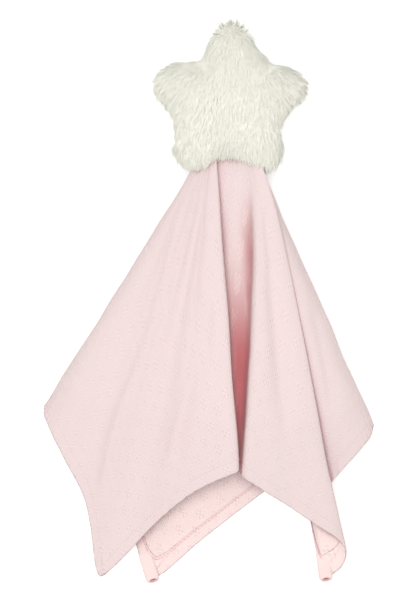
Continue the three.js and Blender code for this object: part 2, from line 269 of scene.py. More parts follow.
# corner: degrees round the cloth. reach: how much further its tip lies, with the cloth behind it stretched.
# curl: how much of the tip rolls over, up or down.
tips = (
    {"corner": 0, "reach": 7, "stretchOver": 40, "curl": 7, "rollRadius": 2.6, "up": -1, "roundness": 0.02},
    {"corner": 90, "reach": 6, "stretchOver": 28, "curl": 2, "rollRadius": 3.4, "up": 1, "roundness": 0.02},
    {"corner": 270, "reach": 5, "stretchOver": 34, "curl": 2, "rollRadius": 3.4, "up": 1, "roundness": 0.02},
)
# Where a panel's folded side meets the hem, its corner is rounded: at this turn, over these degrees to each
# side, by this much.
softCorners = ((-44, 5, 3.5), (135, 5, 5))
# Creases across a panel: their runs on the table in millimetres from the neck, how deep they are and how far
# they spread to the left and to the right.
creases = (
    {"turns": (-41, 22), "depth": 2.5, "spread": (3.6, 8), "run": (
        (-21.5, -12), (-30.4, -34), (-39.9, -72), (-49.4, -107), (-57.6, -131), (-67.1, -153),
        (-74.7, -177), (-79.1, -202), (-82.3, -228))},
    {"turns": (-41, 22), "depth": 0.7, "spread": (2.6, 2.6), "run": (
        (-24, -14), (-35, -38), (-46.5, -74), (-57.5, -110), (-67, -136), (-75, -155))},
    {"turns": (-30, 24), "depth": 2.2, "spread": (5, 7), "run": (
        (-9.5, -80), (-17.7, -126), (-26.6, -153), (-32.9, -177), (-39.2, -205))},
    {"turns": (67, 84), "depth": 2, "spread": (5, 5), "run": (
        (24, -60), (29.8, -107), (34.8, -151), (39.2, -186))},
    {"turns": (101, 131), "depth": 1.6, "spread": (3, 5), "run": (
        (50, -80), (58, -112), (64.6, -145), (66.5, -176))},
)
# How far a crease takes to deepen and to fade along its run, and degrees at its panel's sides.
creaseEnds = {"deepens": 22, "fades": 30, "sides": 2}
gatherRadius = blanket["neckWidth"] / math.pi
halfSide = blanket["side"] / 2
toCorner = halfSide * math.sqrt(2)
chance = np.random.default_rng(blanket["seed"])
slowWaves = [(*(2 * np.pi / length * np.array((math.sin(angle), math.cos(angle)))), phase)
             for length, angle, phase in zip(*(chance.uniform(*span, blanket["slowWaves"]) for span in (
                 blanket["slowWaveEvery"], (0, math.pi), (0, 2 * math.pi))))]


# The same angles, counted from the left side on.
def fromLeftSide(turns):
    return (turns - foldShares[0][0]) % 360 + foldShares[0][0]


# Heading, across, high, level and bow at these angles round the cloth, eased from fold to fold.
def foldKeys(turns):
    table = np.array(foldShares, float)
    wrap = np.array((360, 0, 0, 0, 0, 0))
    table = np.vstack((table[-2:] - wrap, table, table[:2] + wrap))
    at, keys = table[:, 0], table[:, 1:]
    rate = np.diff(keys, axis=0) / np.diff(at)[:, None]
    product = rate[:-1] * rate[1:]
    slope = np.zeros_like(keys)
    slope[1:-1] = np.where(product > 0, 2 * product / np.where(product > 0, rate[:-1] + rate[1:], 1), 0)
    turn = fromLeftSide(turns)
    i = np.searchsorted(at, turn, side="right") - 1
    span = (at[i + 1] - at[i])[:, None]
    t = (turn[:, None] - at[i][:, None]) / span
    rise = t * t * (3 - 2 * t)
    ease = t * (1 - t) * (1 - t) * slope[i] * span - t * t * (1 - t) * slope[i + 1] * span
    return (keys[i] * (1 - rise) + keys[i + 1] * rise + ease).T


def isTucked(turns):
    start, end = blanket["tuckedCorner"]
    return (turns % 360 > start) & (turns % 360 < end)


# Length of cloth from the neck to a line this far in from the hem, at these angles round the cloth.
def hemReach(turns, inside=0):
    fromMiddle = np.radians(turns % 90 - 45)
    fromCorner = math.pi / 4 - np.abs(fromMiddle)
    cut = np.array(blanket["cornerCuts"])[np.round(turns / 90).astype(int) % 4]
    straight = (halfSide - inside) / np.cos(fromMiddle)
    across = (toCorner - cut - inside * math.sqrt(2)) / np.cos(fromCorner)
    hard = blanket["cornerHardness"]
    reach = (straight ** -hard + across ** -hard) ** (-1 / hard) - gatherRadius
    return np.where(isTucked(turns), np.minimum(reach, blanket["hiddenHemReach"] - inside), reach)


# Points of the folded cloth, ways down the lines at these turns, before the corners curl.
def foldedAt(turns, ways):
    heading, across, high, level, bow = foldKeys(turns)
    heading = np.radians(heading)
    pinch = np.clip(1 + ways / gatherRadius, 0, 1)
    down = np.maximum(ways, 0)
    for corner, spread, amount in softCorners:
        apart = (turns - corner + 180) % 360 - 180
        near = np.exp(-(apart / spread) ** 2)
        reach = hemReach(turns)
        down = down - amount * near * smooth(down, reach - blanket["softCornerReach"], reach)
    bowed = np.sin(np.pi * np.sqrt(np.minimum(down / blanket["bowReach"], 1)))
    sideways = (across + bow * bowed) * blanket["neckWidth"] / 2 * pinch
    bulge = 1 - blanket["neckBulgeShare"] * across * across
    neckHigh = blanket["seamHeight"] + high * blanket["gatherDepth"] / 2 * bulge * pinch
    past = np.maximum(down - blanket["droopStart"], 0) / (toCorner - gatherRadius - blanket["droopStart"])
    droop = 1 - (1 - blanket["droopShare"]) * past
    laidHigh = blanket["thickness"] / 2 + level * blanket["foldHeight"] * droop
    pressed = np.interp(fromLeftSide(turns), *np.array(blanket["pressed"]).T)
    laidHigh = laidHigh - pressed * smooth(down, *blanket["pressedOver"])
    settled = smooth(down, 0, blanket["settleReach"])
    return np.stack((
        sideways + down * np.sin(heading),
        blanket["pinchHeight"] * (1 - pinch) - down * np.cos(heading),
        neckHigh * (1 - settled) + laidHigh * settled), axis=-1)


# Lengthens a corner a little and rolls its tip over, up or down.
def curlTip(points, turns, ways, tip):
    corner = np.array((tip["corner"], tip["corner"]), float)
    end = toCorner - gatherRadius
    line = foldedAt(corner, np.array((end - tip["stretchOver"], end)))
    forward = unit((line[1] - line[0]) * (1, 1, 0))
    flat = np.radians(turns - tip["corner"])
    radius = ways + gatherRadius
    fromTip = toCorner - radius * np.cos(flat)
    aside = radius * np.sin(flat)
    near = np.cos(flat) > 0.5  # on this corner's own part of the cloth
    stretch = tip["reach"] * (1 - smooth(fromTip, 0, tip["stretchOver"])) * near
    points = points + forward * stretch[:, None]
    over = np.clip(tip["curl"] - fromTip + aside * aside * tip["roundness"], 0, None)
    over = over * near * (fromTip < 2 * tip["curl"])
    angle = over / tip["rollRadius"]
    points = points + forward * (tip["rollRadius"] * np.sin(angle) - over)[:, None]
    points[:, 2] += tip["up"] * tip["rollRadius"] * (1 - np.cos(angle))
    return points


# Low waves that keep the cloth from lying dead flat: slow ones all over, puckers below the seam at the
# neck, and short ones where the stitching draws the hem in.
def waveHeight(turns, ways):
    flat = flatPlace(turns, ways)
    slow = sum(np.sin(flat @ wave[:2] + wave[2]) for wave in slowWaves) / len(slowWaves)
    swayEvery, swayed = blanket["puckerSway"]
    pucker = np.sin(np.radians(turns) * blanket["puckers"] + swayed * np.sin(np.radians(turns) * swayEvery))
    fade = np.exp(-np.maximum(ways, 0) / blanket["puckerReach"]) * (ways > 0)
    inside = np.maximum(hemDepth(turns, ways), 0)
    drawn = np.sin(2 * np.pi * alongHem(turns) / blanket["hemWaveEvery"] + blanket["hemWaveSway"] * slow)
    edge = np.exp(-inside / blanket["hemWaveReach"])
    away = smooth(ways, 0, blanket["slowWaveFrom"])
    turn = fromLeftSide(turns)
    start, full, fullEnd, end = blanket["calm"]
    calm = 1 - smooth(turn, start, full) * (1 - smooth(turn, fullEnd, end))
    return calm * (blanket["slowWave"] * slow * away + blanket["pucker"] * pucker * fade
                   + blanket["hemWave"] * drawn * edge)


# Normals of foldedAt or clothAt, from points a little to each side.
def normalsOf(surface, turns, ways):
    down, around = blanket["nudge"]
    along = surface(turns, ways + down) - surface(turns, ways - down)
    across = surface(turns + around, ways) - surface(turns - around, ways)
    return unit(np.cross(along, across))


def creaseDrop(points, turns):
    spots = points[:, :2]
    turn = fromLeftSide(turns)
    drop = np.zeros(len(spots))
    for crease in creases:
        run = np.array(crease["run"], float)
        lengths = np.linalg.norm(np.diff(run, axis=0), axis=1)
        nearest = np.full(len(spots), 1e9)
        side = np.zeros(len(spots))
        along = np.zeros(len(spots))
        for k, (start, step) in enumerate(zip(run, np.diff(run, axis=0))):
            t = np.clip((spots - start) @ step / (step @ step), 0, 1)
            away = spots - start - t[:, None] * step
            distance = np.linalg.norm(away, axis=1)
            closer = distance < nearest
            nearest = np.where(closer, distance, nearest)
            side = np.where(closer, step[0] * away[:, 1] - step[1] * away[:, 0], side)
            along = np.where(closer, lengths[:k].sum() + t * lengths[k], along)
        left, right = crease["spread"]
        spread = np.where(side > 0, right, left)
        fades = 1 - smooth(along, lengths.sum() - creaseEnds["fades"], lengths.sum())
        ends = smooth(along, 0, creaseEnds["deepens"]) * fades
        (first, last), sides = crease["turns"], creaseEnds["sides"]
        inside = smooth(turn, first, first + sides) * (1 - smooth(turn, last - sides, last))
        drop += crease["depth"] * np.exp(-(nearest / spread) ** 2) * ends * inside
    return drop


# Points of the cloth's middle surface, in millimetres from the neck's middle on the table.
def clothAt(turns, ways):
    points = foldedAt(turns, ways)
    points[:, 2] -= creaseDrop(points, turns)
    points = points + normalsOf(foldedAt, turns, ways) * waveHeight(turns, ways)[:, None]
    for tip in tips:
        points = curlTip(points, turns, ways, tip)
    start, end = blanket["hemFade"]
    atHem = 1 - smooth(hemDepth(turns, ways), blanket["hemWidth"] + start, blanket["hemWidth"] + end)
    lowest = blanket["thickness"] / 2 + blanket["offTable"] + atHem * blanket["hemHeight"]
    points[:, 2] = np.maximum(points[:, 2], lowest)
    return points


# Place on the cloth as it was cut, in millimetres from its middle.
def flatPlace(turns, ways):
    angle = np.radians(turns - 45)
    radius = ways + gatherRadius
    return np.stack((radius * np.sin(angle), radius * np.cos(angle)), axis=-1)


# The same for the knit's pattern, which is crowded together across the cloth where that is gathered.
def patternPlace(turns, ways):
    near = 1 - smooth(ways, 0, knit["crowdedTo"])
    turn = fromLeftSide(turns)
    start, full, end = knit["valleyTurns"]
    toValley = knit["valleyCrowding"] * smooth(turn, start, full) * (1 - smooth(turn, full, end))
    return flatPlace(turns + toValley * near, ways + knit["crowding"] * near)


# Distance in from the hem's edge, square to it.
def hemDepth(turns, ways):
    radius = ways + gatherRadius
    depth = halfSide - radius * np.cos(np.radians(turns % 90 - 45))
    return np.where(isTucked(turns), np.minimum(depth, blanket["hiddenHemReach"] - ways), depth)


def alongHem(turns):
    return halfSide * np.tan(np.radians(turns % 90 - 45))


# Angles round the cloth, closer together at each fold and where the cloth shows.
def clothLines():
    lines = []
    ends = [row[0] for row in foldShares[1:]] + [foldShares[0][0] + 360]
    for row, end in zip(foldShares, ends):
        hidden = blanket["hiddenFrom"] <= row[0] < blanket["hiddenTo"]
        step = blanket["coarseStep"] if hidden else blanket["fineStep"]
        parts = max(math.ceil((end - row[0]) / step), 1 if hidden else blanket["partsPerFold"])
        lines += [row[0] + (end - row[0]) * part / parts for part in range(parts)]
    return np.array(lines + [foldShares[0][0] + 360])


# A grid of faces laid on rows of points, joined where its last column meets its first.
def gridPiece(name, points, fields, *materials):
    rowCount, lineCount = points.shape[:2]
    shape = bmesh.new()
    uvLayer = shape.loops.layers.uv.new("flat") if "flat" in fields else None
    layers = {key: shape.verts.layers.float.new(key) for key in fields if key != "flat"}
    bmesh.ops.create_grid(shape, x_segments=lineCount - 1, y_segments=rowCount - 1, size=1)
    shape.verts.index_update()
    places = [(round((1 - vert.co.y) / 2 * (rowCount - 1)), round((vert.co.x + 1) / 2 * (lineCount - 1)))
              for vert in shape.verts]
    if uvLayer:
        for loop in (loop for face in shape.faces for loop in face.loops):
            loop[uvLayer].uv = fields["flat"][places[loop.vert.index]]
    for vert, place in zip(shape.verts, places):
        vert.co = (neckPlace + points[place]) * mm
        for key, layer in layers.items():
            vert[layer] = fields[key][place]
    bmesh.ops.remove_doubles(shape, verts=shape.verts, dist=0.002 * mm)
    mesh = bpy.data.meshes.new(name)
    shape.to_mesh(mesh)
    shape.free()
    return newPiece(name, mesh, *materials)


# Copies of one small shape: a row of points for each copy, with the same faces on every row.
def copiesPiece(name, points, faces, material):
    steps = np.arange(len(points))[:, None, None] * points.shape[1]
    mesh = bpy.data.meshes.new(name)
    mesh.from_pydata(((neckPlace + points.reshape(-1, 3)) * mm).tolist(), [],
                     (np.array(faces)[None] + steps).reshape(-1, len(faces[0])).tolist())
    return newPiece(name, mesh, material)


# Cotton jersey with a small openwork pattern: matt, softly ribbed by its wales, with groups of short
# slits, and the hem's stitch line pressed in. The inner face is a little deeper in colour. Its colour also
# carries painted light: painted shade in the slits, the stitch line, the crevices and the valley, and a
# painted highlight on the loops round the slits.
knit = {
    # front, back and shades are the knit's own colours; the rim colour is a painted highlight, and the slit
    # colour and the darkest pink are painted shade
    "front": "#e2d1d2", "back": "#f0dbda", "slit": "#d9a4a8", "rim": "#f8efed", "paintedShade": "#b96a6e",
    "shades": "#e6d0cf", "thread": "#e0a2ab", "paleThread": "#ecd6d6",
    "motifWide": 8.7, "motifHigh": 15.0, "walesEvery": 1.5, "coursesEvery": 1.25,
    "slits": ((0, 2.3), (1.35, 0.6), (0, -1.1), (1.35, -2.8)), "slitWide": 0.5, "slitHigh": 1.25,
    "fades": {"slit": (1.15, 0.55), "rim": (2.1, 1.2), "sewn": (1.1, 0.1), "crevice": (0.85, 0.2)},
    "reliefs": {"rim": 0.7, "slit": -1.3, "sewn": -1.1, "fuzz": 0.5}, "relief": 0.4, "bump": 0.5,
    "betweenStitches": 0.35, "patchy": (0.3, 0.7, 0.3), "creviceReach": 14,
    # shares of painted highlight on the rims, more part way into the valley's painted shade, and of painted
    # shade in the slits, the crevices and the stitch line
    "rimHighlightShare": 0.2, "rimHighlightInFold": 1.5, "slitShadeShare": 0.25,
    "creviceShadeShare": (0.55, 1), "sewnShadeShare": (0.12, 0.25),  # on the outer face and on the inner one
    "roughness": 0.92, "sheen": 0.2,
    # how much closer the pattern lies at the neck, down to where, and how many degrees more in the valley
    "crowding": 42, "crowdedTo": 165, "valleyCrowding": 12, "valleyTurns": (50, 65, 110),
}
smoothStep = {"interpolation_type": "SMOOTHSTEP"}


def knitMaterial(name, baseColor, inner):
    material = newMaterial(name)
    node = lambda *parts: addNode(material, *parts)
    flat = node("ShaderNodeUVMap", {"uv_map": "flat"})
    scaled = node("ShaderNodeVectorMath", "SCALE", {0: flat, "Scale": blanket["side"]})
    u = node("ShaderNodeSeparateXYZ", None, (scaled,))
    v = u.node.outputs["Y"]
    wide, high = knit["motifWide"], knit["motifHigh"]

    # Groups of slits in columns, every other column half a step lower.
    odd = u
    for operation, value in (("ADD", wide / 2), ("DIVIDE", wide), ("FLOOR", 0), ("PINGPONG", 1)):
        odd = node("ShaderNodeMath", operation, (odd, value))
    lowered = node("ShaderNodeMath", "MULTIPLY_ADD", (odd, high / 2, v))
    x = node("ShaderNodeMath", "WRAP", (u, wide / 2, -wide / 2))
    y = node("ShaderNodeMath", "WRAP", (lowered, high / 2, -high / 2))
    side = node("ShaderNodeMath", "ABSOLUTE", (x,))
    nearest = None
    for across, up in knit["slits"]:
        away = []
        for value, middle, size in ((side, across, knit["slitWide"]), (y, up, knit["slitHigh"])):
            value = node("ShaderNodeMath", "SUBTRACT", (value, middle))
            away.append(node("ShaderNodeMath", "DIVIDE", (value, size)))
        away = node("ShaderNodeCombineXYZ", None, (away[0], away[1]))
        away = node("ShaderNodeVectorMath", "LENGTH", (away,)).node.outputs["Value"]
        if nearest is not None:
            away = node("ShaderNodeMath", "MINIMUM", (away, nearest))
        nearest = away

    # Wales and courses of the jersey, and its fuzz.
    wale = node("ShaderNodeMath", "PINGPONG", (u, knit["walesEvery"] / 2))
    course = node("ShaderNodeMath", "PINGPONG", (v, knit["coursesEvery"] / 2))
    height = node("ShaderNodeMath", "ADD", (wale, course))
    fuzz = node("ShaderNodeTexNoise", None, {
        "Vector": scaled, "Scale": 0.9, "Detail": 3, "Roughness": 0.6})
    shades = node("ShaderNodeTexNoise", None, {"Vector": scaled, "Scale": 0.035, "Detail": 2})

    # Each mark's mask. The stitch line sinks in, dimpled at each stitch.
    fromHem, along, paintedShade = (node("ShaderNodeAttribute", {"attribute_name": key}).node.outputs["Fac"]
                            for key in ("fromHem", "alongHem", "deepFold"))
    off = node("ShaderNodeMath", "SUBTRACT", (fromHem, blanket["stitchFromEdge"]))
    off = node("ShaderNodeMath", "ABSOLUTE", (off,))
    # Occlusion finds the crevices that take painted shade.
    openness = node("ShaderNodeAmbientOcclusion", {"samples": 8}, {"Distance": knit["creviceReach"] * mm})
    masks = {"fuzz": fuzz}
    for key, value in (("slit", nearest), ("rim", nearest), ("sewn", off), ("crevice", openness)):
        start, end = knit["fades"][key]
        masks[key] = node("ShaderNodeMapRange", smoothStep, (value, start, end, 0, 1))
    halfStitch = blanket["stitchEvery"] / 2
    dimple = node("ShaderNodeMath", "PINGPONG", (along, halfStitch))
    dimple = node("ShaderNodeMapRange", None, (dimple, 0, halfStitch, knit["betweenStitches"], 1))
    masks["sewn"] = node("ShaderNodeMath", "MULTIPLY", (masks["sewn"], dimple))
    for key, relief in knit["reliefs"].items():
        height = node("ShaderNodeMath", "MULTIPLY_ADD", (masks[key], relief, height))
    bump = node("ShaderNodeBump", None, {
        "Strength": knit["bump"], "Distance": knit["relief"] * mm, "Height": height})

    # Painted light and shade in the colour, for light that has bounced from pink to pink and left the cloth
    # looking deeper in its crevices: on the knit's own patchy tone go a painted highlight on the loops round
    # the slits, strongest where the valley's painted shade is half way, and painted shade in the slits, in
    # crevices found by occlusion (fuller on the inner face), in the valley and in the stitch line's groove.
    start, end, most = knit["patchy"]
    tint = node("ShaderNodeMapRange", None, (shades, start, end, 0, most))
    halfway = node("ShaderNodeMath", "PINGPONG", (paintedShade, 0.5))
    rimHighlightShare = node("ShaderNodeMath", "MULTIPLY_ADD", (halfway, knit["rimHighlightInFold"], knit["rimHighlightShare"]))
    color = toLinear(baseColor)
    for mask, shade, share in (
            (tint, "shades", 1), (masks["rim"], "rim", rimHighlightShare), (masks["slit"], "slit", knit["slitShadeShare"]),
            (masks["crevice"], "paintedShade", knit["creviceShadeShare"][inner]), (paintedShade, "paintedShade", 1),
            (masks["sewn"], "slit", knit["sewnShadeShare"][inner])):
        amount = node("ShaderNodeMath", "MULTIPLY", (mask, share))
        color = node("ShaderNodeMix", {"data_type": "RGBA"},
                     {0: amount, 6: color, 7: toLinear(knit[shade])}).node.outputs[2]
    cotton = node("ShaderNodeBsdfPrincipled", None, {
        "Base Color": color, "Roughness": knit["roughness"], "Specular IOR Level": 0.25,
        "Sheen Weight": knit["sheen"], "Sheen Roughness": 0.5, "Normal": bump})
    node("ShaderNodeOutputMaterial", None, {"Surface": cotton})
    return material


# The valley between the two panels: how much painted shade its colour takes, in millimetres down from the
# neck and in shares across from the left panel's edge to the right one's.
valley = {
    "from": 28.5, "to": 64.6, "edges": (28, 32, 63.5, 65.5), "down": 270, "steps": 60, "narrowest": 3,
    "deepens": (50, 130), "lightens": (160, 212), "lightenedBy": 0.68,
    "leftPaler": 0.26, "leftWide": (0.1, 0.32), "leftBand": 0.15, "leftBegins": (18, 60),
    "rightBand": 0.68, "rightBegins": (14, 58), "rightWide": (0.45, 0.9),
}


# Painted shade in the valley: none at the neck, deepening lower down and paler at the left panel's side,
# with a band along each panel's edge, and lighter again towards the hem.
def deepFold(turns, ways):
    turn = fromLeftSide(turns)
    down = np.linspace(0, valley["down"], valley["steps"])
    edges = [foldedAt(np.full(valley["steps"], valley[key]), down) for key in ("from", "to")]
    spots = foldedAt(turns, ways)
    left, right = (np.interp(-spots[:, 1], -edge[:, 1], edge[:, 0]) for edge in edges)
    across = (spots[:, 0] - left) / np.maximum(right - left, valley["narrowest"])
    atLeft = 1 - smooth(across, *valley["leftWide"])
    shade = smooth(ways, *valley["deepens"]) * (1 - valley["leftPaler"] * atLeft)
    atRight = smooth(across, *valley["rightWide"])
    bands = (valley["rightBand"] * smooth(ways, *valley["rightBegins"]) * atRight
             + valley["leftBand"] * smooth(ways, *valley["leftBegins"]) * atLeft)
    shade = np.maximum(shade, bands) * (1 - valley["lightenedBy"] * smooth(ways, *valley["lightens"]))
    start, full, fullEnd, end = valley["edges"]
    return shade * smooth(turn, start, full) * (1 - smooth(turn, fullEnd, end))


# A grid on the cloth's lines: each row has its lengths from the neck, and lies this far above the cloth.
def layGrid(name, rows, above, thickness, *materials):
    ways = np.stack(rows)
    turns = np.tile(clothLines(), (len(rows), 1))
    spots = clothAt(turns.ravel(), ways.ravel())
    if np.any(above):
        lifts = np.repeat(above, ways.shape[1])[:, None]
        spots = spots + normalsOf(clothAt, turns.ravel(), ways.ravel()) * lifts
    fields = {"flat": patternPlace(turns, ways) / blanket["side"] + 0.5, "fromHem": hemDepth(turns, ways),
              "alongHem": alongHem(turns),
              "deepFold": deepFold(turns.ravel(), ways.ravel()).reshape(ways.shape)}
    piece = gridPiece(name, spots.reshape(*ways.shape, 3), fields, *materials)
    thicken(piece, thickness, otherFace=len(materials) - 1)
    print(name, len(piece.data.polygons), "faces")
    return piece


def makeCloth(outer, inner):
    lines = clothLines()
    last = hemReach(lines, blanket["hemRows"][0])
    rows = [np.full(len(lines), -gatherRadius * (1 - row / blanket["pinchRows"]))
            for row in range(blanket["pinchRows"])]
    rows += [last * row / blanket["rows"] for row in range(blanket["rows"])]
    rows += [hemReach(lines, inside) for inside in blanket["hemRows"]]
    return layGrid("blanket_cloth", rows, 0, blanket["thickness"], outer, inner)


# The hem's turned strip lies on the inner face, from its fold to its raw edge.
def makeTurning(inner):
    insides, depths = np.array(blanket["turning"]).T
    rows = [hemReach(clothLines(), inside) for inside in insides]
    return layGrid("hem_turning", rows, -depths, blanket["turnedThickness"], inner)


# Lock stitches through the hem, as short rounded threads on both faces.
def makeStitches(name, above, thread):
    perSide = round(2 * (halfSide - blanket["stitchFromEdge"]) / blanket["stitchEvery"])
    along = (np.arange(perSide) + 0.5) / perSide * 2 - 1
    along = along * (halfSide - blanket["stitchFromEdge"])
    onSide = np.degrees(np.arctan2(along, halfSide - blanket["stitchFromEdge"]))
    turns = np.concatenate([onSide + 45 + 90 * side for side in range(4)])
    hidden = (turns > blanket["unstitched"][0]) & (turns < blanket["unstitched"][1])
    turns = turns[~isTucked(turns) & ~hidden]
    ways = hemReach(turns, blanket["stitchFromEdge"])
    middle = clothAt(turns, ways)
    normal = normalsOf(clothAt, turns, ways)
    step = 0.2
    heading = unit(clothAt(turns + step, hemReach(turns + step, blanket["stitchFromEdge"]))
                   - clothAt(turns - step, hemReach(turns - step, blanket["stitchFromEdge"])))
    normal = unit(normal - heading * np.sum(normal * heading, axis=-1, keepdims=True))
    across = np.cross(normal, heading)
    template = bmesh.new()
    bmesh.ops.create_uvsphere(template, u_segments=6, v_segments=4, radius=0.5)
    bmesh.ops.triangulate(template, faces=template.faces)
    template.verts.index_update()
    size = (blanket["stitchLength"], blanket["stitchThick"], blanket["stitchThick"])
    axes = np.stack((heading * size[0], across * size[1], normal * size[2]), axis=1)
    # The ball's operator leaves the order of its corners to chance, so they are sorted.
    corners = np.array([vert.co for vert in template.verts]).round(6)
    order = np.lexsort(corners.T)
    rank = np.argsort(order)
    faces = [[int(rank[vert.index]) for vert in face.verts] for face in template.faces]
    faces = sorted(min((a, b, c), (b, c, a), (c, a, b)) for a, b, c in faces)
    template.free()
    points = (middle + normal * above)[:, None, :] + np.einsum("vk,nkd->nvd", corners[order], axes)
    piece = copiesPiece(name, points, faces, thread)
    print(name, len(turns))
    return piece


# A hem that was sewn last runs on to its corner's tip as a flat tube, which ends in an open rounded mouth.
hemEnd = {
    "left": ((-54.2, -247.2, 1.8), (-47.6, -267.5, 3)), "right": ((59.8, -247, 4.6), (62.8, -266.5, 6)),
    "columns": 33, "lean": 1.1, "leansOver": (0.5, 0.95), "lowest": 0.1,
    "patternAt": 6.5, "patternWide": 0.7, "patternLong": 22,  # plain knit, between the groups of slits
    # along the tube as a share, then half its width, half its height and the painted shade deep in its mouth
    "rings": ((0, 0.1, 0.1, 0), (0.02, 3.4, 0.4, 0), (0.2, 4, 0.7, 0), (0.5, 4.2, 1.05, 0),
              (0.74, 4.3, 1.4, 0), (0.88, 4.4, 1.65, 0), (0.945, 4.2, 1.65, 0), (0.985, 3.6, 1.5, 0),
              (1, 2.8, 1.2, 0.1), (0.985, 2, 0.95, 0.4), (0.94, 1.55, 0.8, 0.8), (0.85, 1.4, 0.7, 1),
              (0.72, 0.1, 0.1, 1)),
}


# From one place to another, in millimetres from the neck.
def makeHemEnd(name, start, end, material):
    start, end = np.array(start, float), np.array(end, float)
    forward = unit((end - start) * (1, 1, 0))
    across = unit(np.cross((0, 0, 1), forward))
    rings, around = np.array(hemEnd["rings"]), -np.linspace(0, 2 * math.pi, hemEnd["columns"])
    along, wide, high, mouthShade = (column[:, None] for column in rings.T)
    up = high * np.sin(around)
    leaning = hemEnd["lean"] * smooth(along, *hemEnd["leansOver"])
    points = start + along[..., None] * (end - start) - (leaning * up)[..., None] * forward
    points = points + (wide * np.cos(around))[..., None] * across + up[..., None] * (0, 0, 1)
    points[..., 2] = np.maximum(points[..., 2], hemEnd["lowest"])
    u, v = hemEnd["patternAt"] + hemEnd["patternWide"] * around, along * hemEnd["patternLong"]
    flat = np.stack(np.broadcast_arrays(u, v), axis=-1) / blanket["side"]
    # The inside of the mouth takes painted shade, through the same attribute as the valley's.
    fields = {"flat": flat, "fromHem": np.zeros(up.shape), "alongHem": np.zeros(up.shape),
              "deepFold": mouthShade + 0 * up}
    return gridPiece(name, points, fields, material)


# Spun polyester sewing thread: a soft twist with a slight sheen.
def threadMaterial(name, color):
    material = newMaterial(name)
    place = addNode(material, "ShaderNodeTexCoord").node.outputs["Object"]
    twist = addNode(material, "ShaderNodeTexWave", None, {"Vector": place, "Scale": 900, "Distortion": 1})
    bump = addNode(material, "ShaderNodeBump", None, {
        "Strength": 0.3, "Distance": 0.05 * mm, "Height": twist})
    surface = addNode(material, "ShaderNodeBsdfPrincipled", None, {
        "Base Color": toLinear(color), "Roughness": 0.6, "Sheen Weight": 0.2, "Normal": bump})
    addNode(material, "ShaderNodeOutputMaterial", None, {"Surface": surface})
    return material


jersey = knitMaterial("cottonJersey", knit["front"], False)
jerseyBack = knitMaterial("cottonJerseyBack", knit["back"], True)
cloth = makeCloth(jersey, jerseyBack)
turning = makeTurning(jerseyBack)
trim = [turning,
        makeStitches("stitches_inner", blanket["stitchesInner"],
                     threadMaterial("polyesterThread", knit["thread"])),
        makeStitches("stitches_outer", blanket["stitchesOuter"],
                     threadMaterial("paleThread", knit["paleThread"])),
        makeHemEnd("hem_end_left", *hemEnd["left"], jerseyBack),
        makeHemEnd("hem_end_right", *hemEnd["right"], jerseyBack)]
for piece in (cloth, *trim):
    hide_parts("blanket")
for piece in trim:
    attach(piece, "blanket_body")
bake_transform(cloth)

# The star: two panels of long-pile plush, sewn face to face round their edge, turned and stuffed.
star = {
    "middle": (1.5, 36), "seamHeight": 19.5, "halfDepth": 16.8, "squareness": 2.1, "roundness": 0.52,
    "segments": 168, "rings": 72, "seamGap": 0.15, "backing": 1.2, "fill": 0.85, "splitHigh": 5,
    "evened": {"reach": (3, 7), "edge": (9, 7), "rise": (36, 13)},  # degrees to each side, and steps
    "pileBeyond": (4.8, 1.6),  # pile past the panel's edge: all round, and more where it lies outwards
    "chord": 0.06, "inwards": -0.3, "rim": (0.999978, 0.001),  # the half ball's edge: reach and height
    "lumps": 0.45, "lumpWaves": 8, "lumpEvery": (18, 45), "seed": 11,
    "fillingInset": 3.2, "fillingLumps": 0.9,
    # over the pile from above, in millimetres from the star's middle, clockwise from the top
    "outline": (
        (0.7, 52.6), (4.5, 51.8), (8.2, 49.6), (10.4, 46.8), (11.8, 43.8), (15, 39.2), (19.4, 34),
        (22.8, 30.2), (27, 26.6), (34.6, 24.1), (43.4, 20.3), (49.4, 14.6), (49.8, 10.2), (45.2, 4.5),
        (39.8, -3.7), (35.5, -12), (33.3, -19.6), (33.9, -29.1), (33.3, -35.4), (30.8, -40.4), (25.7, -43),
        (20, -41.7), (12.4, -38.5), (6.1, -37), (-1.5, -36), (-9.1, -36.6), (-16.1, -39.8), (-21.8, -42.3),
        (-28.1, -42.1), (-34.4, -37.8), (-37.4, -31), (-35.7, -22.7), (-38.2, -13.9), (-40.6, -5),
        (-44.4, 2.6), (-49.1, 9.6), (-50, 15.9), (-46, 21), (-39, 24.4), (-26.8, 26.9), (-18.4, 30),
        (-14.8, 35), (-12.8, 39.8), (-11, 43.8), (-9.4, 47), (-7.2, 50.1), (-3.2, 52.2)),
}
starMiddle = np.array(star["middle"])
luck = np.random.default_rng(star["seed"])
lumpWaves = [(*(2 * np.pi / length * unit(luck.normal(size=3))), phase)
             for length, phase in zip(*(luck.uniform(*span, star["lumpWaves"]) for span in (
                 star["lumpEvery"], (0, 2 * math.pi))))]


